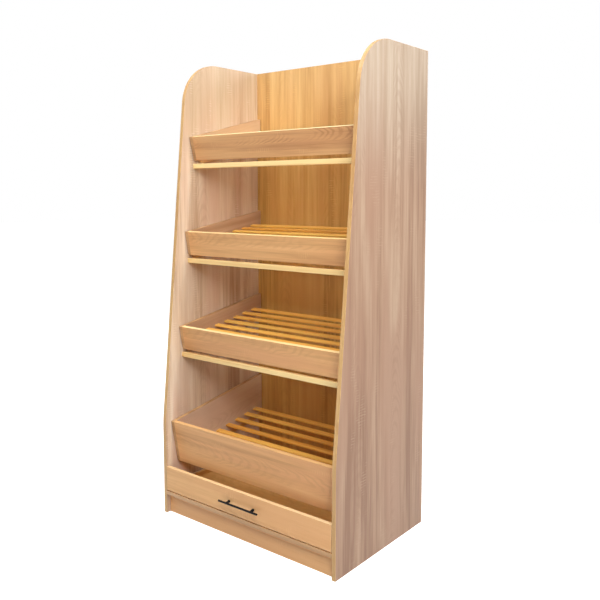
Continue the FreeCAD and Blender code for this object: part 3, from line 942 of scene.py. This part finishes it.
@dataclass
class SlattedTray:
    """A tilted tray: front board, side boards, edge bands and slats.

    The print lengths are how far each tray's boards and slats lie apart on the print.
    """

    number: int
    tilt: float
    height: float
    band: float = 1 * MM
    board: float = 16 * MM
    ease: float = 0.5 * MM
    slat_width: float = 26 * MM
    slat_thickness: float = 8 * MM
    slat_ease: float = 3.2 * MM
    slat_steps: int = 5
    slat_sharp_angle: float = 40
    figure_start: float = 58 * MM
    front_print: float = 0.83
    slat_print: float = 0.29
    side_print: tuple[float, float] = (0.4, 0.6)

    def __post_init__(self) -> None:
        """Take the tray's place from its front board and its slats."""
        self.name = f"tray_{self.number}"
        low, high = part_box(f"{self.name}_front_board")
        self.inner = high.x
        self.sine = math.sin(math.radians(self.tilt))
        self.cosine = math.cos(math.radians(self.tilt))
        self.front = low.y + (self.height - self.band) * self.sine
        self.level = low.z

    def print_start(self) -> Point:
        """Offset that lays the front board's print out from its first stave.

        Returns:
            Offset for the material, in the tilted directions.
        """
        depth = self.front * self.cosine + self.level * self.sine
        height = self.level * self.cosine - self.front * self.sine
        return (self.front_print * self.number, -depth, -height - self.figure_start)

    def tilted(self, shell: Rings) -> Rings:
        """Carry a shell from the tray's own level frame to its place in the rack.

        Args:
            shell: rings whose Y and Z start at the tray's bottom front edge.

        Returns:
            The rings in the rack.
        """
        placed = shell.copy()
        placed[..., 1] = self.front + shell[..., 1] * self.cosine - shell[..., 2] * self.sine
        placed[..., 2] = self.level + shell[..., 1] * self.sine + shell[..., 2] * self.cosine
        return placed

    def cut_upright(self, shell: Rings, rear: float) -> Rings:
        """Shear the rear half of a level shell so that its end is upright once it is tilted.

        Args:
            shell: rings in the tray's level frame.
            rear: Y of the rear end in the rack.

        Returns:
            The cut rings.
        """
        cut = shell.copy()
        length = shell[..., 1].max()
        end = ((rear - self.front) + shell[..., 2] * self.sine) / self.cosine
        behind = shell[..., 1] > length / 2
        cut[..., 1] = np.where(behind, shell[..., 1] - length + end, shell[..., 1])
        return cut

    def make_front_board(self) -> None:
        """Front board, its grain across the rack."""
        top = self.height - self.band
        shell = eased_bar((-self.inner, 0, 0), (self.inner, self.board, top), self.ease)
        finish = TOP_TRAY_OAK if self.number == TOP_TRAY else TRAY_OAK
        make_piece(f"{self.name}_front", [self.tilted(shell)], self.name, "tray_board",
                   f"{self.name}_front_board",
                   finish.material(Lay(Grain.ACROSS, self.tilt, self.print_start())))

    def make_bands(self) -> None:
        """Edge bands on the front board and on the tops and front ends of the side boards."""
        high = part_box(f"{self.name}_edge_bands")[1]
        start = self.height - self.band
        ease = BAND_EASE * self.band
        fronts = [eased_bar((-self.inner, 0, start), (self.inner, self.board, self.height), ease)]
        tops, ends = [], []
        for side in Side:
            inner, outer = side.value * self.inner, side.value * high.x
            strip = eased_bar((inner, self.band, start),
                              (outer, high.y - self.front, self.height), ease, Grain.DEPTH)
            tops.append(self.cut_upright(strip, high.y))
            ends.append(eased_bar((inner, 0, 0), (outer, self.band, self.height), ease,
                                  Grain.UPRIGHT))
        # the front board's top band carries a painted highlight, dimmer on the lowest tray
        front_edge = LOW_TRAY_EDGE if self.number == LOW_TRAY else TRAY_EDGE
        for part, shells, finish in (("front", fronts, front_edge), ("top", tops, SIDE_TOP_EDGE),
                                     ("end", ends, END_EDGE)):
            make_piece(f"{self.name}_{part}_strips", [self.tilted(shell) for shell in shells],
                       self.name, "tray_edge_band", f"{self.name}_edge_bands",
                       finish.material(Lay(Grain.ACROSS, self.tilt)))

    def make_slats(self) -> None:
        """Slats with well rounded edges, one piece each."""
        node = f"{self.name}_slats"
        boxes = sorted(solid_boxes(node), key=lambda box: box[0][1])
        material = SLAT_PINE.material(Lay(Grain.ACROSS, self.tilt,
                                          (0.0, self.slat_print * self.number, 0.0)))
        half_width, half_height = self.slat_width / 2, self.slat_thickness / 2
        for order, (low, high) in enumerate(boxes, start=1):
            depth, height = (low + high)[1:] / 2 - (self.front, self.level)
            along = depth * self.cosine + height * self.sine
            rise = height * self.cosine - depth * self.sine
            shell = eased_bar((low[0], along - half_width, rise - half_height),
                              (high[0], along + half_width, rise + half_height),
                              self.slat_ease, steps=self.slat_steps)
            piece = make_piece(f"{self.name}_slat_{order}", [self.tilted(shell)], self.name,
                               "slat_pine", node, material)
            smooth(piece, self.slat_sharp_angle)

    def dress_sides(self) -> None:
        """Give the side boards, which stay as the CAD has them, their finish."""
        # the lowest tray's sides take the paler copy of the print, painted light
        special = {TOP_TRAY: TOP_TRAY_SIDE_OAK, LOW_TRAY: LIT_LOW_TRAY_SIDE_OAK}
        finish = special.get(self.number, TRAY_SIDE_OAK)
        across, along = self.side_print
        for side in Side:
            node = frame["nodes"][f"{self.name}_{side.word}_side"]
            offset = (across * side.value, along * self.number, 0.0)
            dress(node, finish.material(Lay(Grain.DEPTH, self.tilt, offset)))

    def build(self) -> None:
        """Make every part of the tray."""
        self.make_front_board()
        self.make_bands()
        self.make_slats()
        self.dress_sides()


# --- drawer
@dataclass
class CrumbDrawer:
    """The drawer under the trays: front, band and bar handle."""

    board_ease: float = 0.2 * MM
    band: float = 1 * MM
    bar_radius: float = 4 * MM
    bar_dome: float = 2 * MM
    post_spacing: float = 128 * MM
    post_base: float = 6 * MM
    post_tip: float = 2.6 * MM
    post_rim: float = 0.4 * MM
    post_shares: tuple[float, ...] = (0.0, 0.0, 0.02, 0.05, 0.3, 0.6, 1.0)
    around: int = 24
    sharp_angle: float = 50
    print_place: Point = (0.1, 0.2, 0.55)

    def make_front(self) -> None:
        """Front board with a thin band around its four edges."""
        make_piece("drawer_front_face", [eased_bar(*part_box("drawer_front"), self.board_ease)],
                   "drawer", "oak_cross_board", "drawer_front",
                   FRONT_OAK.material(Lay(offset=self.print_place)))
        low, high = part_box("drawer_front_edge_band")
        band, ease = self.band, BAND_EASE * self.band
        strips = [eased_bar((low.x, low.y, z), (high.x, high.y, z + band), ease)
                  for z in (low.z, high.z - band)]
        strips += [eased_bar((x, low.y, low.z + band), (x + band, high.y, high.z - band), ease,
                             Grain.UPRIGHT) for x in (low.x, high.x - band)]
        make_piece("drawer_front_strips", strips, "drawer", "oak_edge_band",
                   "drawer_front_edge_band", FRONT_EDGE.material(Lay()))

    def make_handle(self) -> None:
        """Slim bar with domed ends on two conical posts.

        The bar's radius falls to nothing over each end by sqrt(1 - t * t). A post's radius
        runs straight from its base to its tip, but for a rounded rim at the board.
        """
        low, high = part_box("drawer_handle")
        bar_y = low.y + self.bar_radius
        level = (low.z + high.z) / 2
        share = np.linspace(0, 1, 8)[:-1]
        end = self.bar_dome * share
        radius = self.bar_radius * np.sqrt(1 - share**2)
        place = np.concatenate([low.x + self.bar_dome - end[::-1], high.x - self.bar_dome + end])
        bar = turned(np.column_stack([place, np.concatenate([radius[::-1], radius])]),
                     (0.0, bar_y, level), Grain.ACROSS, self.around)
        share = np.array(self.post_shares)
        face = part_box("drawer_front")[0].y
        width = self.post_base + (self.post_tip - self.post_base) * share
        width[:2] -= (self.post_base, self.post_rim)
        profile = np.column_stack([face + share * (bar_y - face), width])
        posts = [turned(profile, (x, 0.0, level), Grain.DEPTH, self.around)
                 for x in (-self.post_spacing / 2, self.post_spacing / 2)]
        handle = make_piece("bar_handle", [bar, *posts], "drawer", "black_handle",
                            "drawer_handle", POWDER_COAT.material(Lay(Grain.UPRIGHT)))
        smooth(handle, self.sharp_angle)

    def build(self) -> None:
        """Make the drawer's visible parts."""
        self.make_front()
        self.make_handle()


def dress_cad_nodes() -> None:
    """Give every CAD node but the trays' side boards the finish of its slot."""
    grain_of_node = {"back_panel": Grain.UPRIGHT, "drawer_back": Grain.ACROSS,
                     "drawer_bottom": Grain.ACROSS}
    for row in frame["record"]["subparts"]:
        name = row["node"]
        if name.endswith("_side") and name.startswith("tray_"):
            continue
        lay = Lay(grain_of_node.get(name, Grain.DEPTH))
        dress(frame["nodes"][name], FINISH_OF_SLOT[row["material_slot"]].material(lay))


# --- studio
@dataclass(frozen=True)
class SoftBox:
    """A square lamp: its place, its side, its power in watts and where it points."""

    name: str
    place: Point
    size: float
    power: float
    target: Point = (0.0, 0.0, 1.0)

    def hang(self) -> None:
        """Add the lamp to the scene."""
        data = bpy.data.lights.new(self.name, "AREA")
        data.size = self.size
        data.energy = self.power
        lamp = bpy.data.objects.new(self.name, data)
        lamp.location = self.place
        ray = Vector(self.target) - Vector(self.place)
        lamp.rotation_euler = ray.to_track_quat("-Z", "Y").to_euler()
        bpy.context.scene.collection.objects.link(lamp)


LAMPS = (
    SoftBox("right_soft_box", (2.6, -2.0, 2.4), 1.0, 57.0),
    SoftBox("far_right_soft_box", (3.8, -2.5, 2.7), 1.6, 5.0, (0.0, 0.0, 1.1)),
    SoftBox("near_right_soft_box", (3.4, -1.3, 3.0), 0.6, 20.0),
    SoftBox("right_spot", (4.0, -0.22, 3.3), 0.12, 88.0),
    SoftBox("high_right_soft_box", (2.4, -0.4, 3.6), 1.2, 7.0, (0.45, 0.0, 1.1)),
    SoftBox("ceiling_soft_box", (0.0, -1.6, 4.4), 2.4, 139.0, (0.0, 0.0, 1.2)),
    SoftBox("left_lamp", (-3.0, -2.2, 3.0), 0.5, 4.0, (0.0, 0.2, 1.5)),
    SoftBox("left_soft_box", (-4.2, 0.9, 2.6), 2.0, 150.0),
    SoftBox("rear_soft_box", (0.6, 4.6, 3.0), 2.0, 150.0),
)


@dataclass
class Studio:
    """Floor, lamps, surroundings and the camera."""

    place: Point = (1.872027, -2.238087, 1.347185)
    yaw: float = 0.68036
    pitch: float = -0.09098
    roll: float = -0.00102
    lens: float = 43.452
    shift_y: float = -40 / 600
    floor_reach: float = 30.0
    floor_roughness: float = 0.9
    floor_colour: tuple[float, ...] = (0.42, 0.41, 0.40, 1.0)
    floor_seen: tuple[float, ...] = (0.5, 0.5, 0.5, 1.0)
    floor_glow: float = 0.97
    world_light: float = 0.06

    def make_camera(self) -> None:
        """Camera that looks at the rack from the front right, about chest high."""
        data = bpy.data.cameras.new("camera")
        data.lens = self.lens
        data.shift_y = self.shift_y
        camera = bpy.data.objects.new("camera", data)
        camera.matrix_world = (Matrix.Translation(self.place)
                               @ Matrix.Rotation(self.yaw, 4, "Z")
                               @ Matrix.Rotation(math.pi / 2 + self.pitch, 4, "X")
                               @ Matrix.Rotation(self.roll, 4, "Z"))
        bpy.context.scene.collection.objects.link(camera)
        bpy.context.scene.camera = camera

    def make_floor(self) -> None:
        """Wide plain floor, near white, that keeps a soft shadow."""
        mesh = bpy.data.meshes.new("floor")
        reach = self.floor_reach
        mesh.from_pydata([(-reach, -reach, 0), (reach, -reach, 0), (reach, reach, 0),
                          (-reach, reach, 0)], [], [(0, 1, 2, 3)])
        floor = bpy.data.objects.new("floor", mesh)
        bpy.context.scene.collection.objects.link(floor)
        sheet = NodeSheet(bpy.data.materials.new("pale_floor"))
        seen = sheet.seen()
        sheet.fill(sheet.shader, {
            "Base Color": sheet.mix(seen, self.floor_colour, self.floor_seen),
            "Roughness": self.floor_roughness, "Emission Color": WHITE,
            "Emission Strength": sheet.calc("MULTIPLY", seen, self.floor_glow)})
        dress(floor, sheet.owner)

    def make_world(self) -> None:
        """Plain surroundings: white where they are seen, dimmer where they only light."""
        world = bpy.data.worlds.new("studio")
        bpy.context.scene.world = world
        sheet = NodeSheet(world)
        level = sheet.calc("MULTIPLY", sheet.seen(), 1.0 - self.world_light)
        strength = sheet.calc("ADD", level, self.world_light)
        sheet.fill(sheet.shader, {"Color": WHITE, "Strength": strength})

    def build(self) -> None:
        """Set up the whole studio."""
        self.make_camera()
        self.make_floor()
        self.make_world()
        for lamp in LAMPS:
            lamp.hang()
        bpy.context.scene.view_settings.view_transform = "Standard"


def main() -> None:
    """Build the rack's sub-assemblies in order, then the studio."""
    logging.basicConfig(level=logging.INFO, format="%(message)s")
    dress_cad_nodes()
    Carcass().build()
    for number, (tilt, height) in enumerate(TRAYS, start=TOP_TRAY):
        SlattedTray(number, tilt, height).build()
    CrumbDrawer().build()
    Studio().build()


if __name__ == "__main__":
    main()
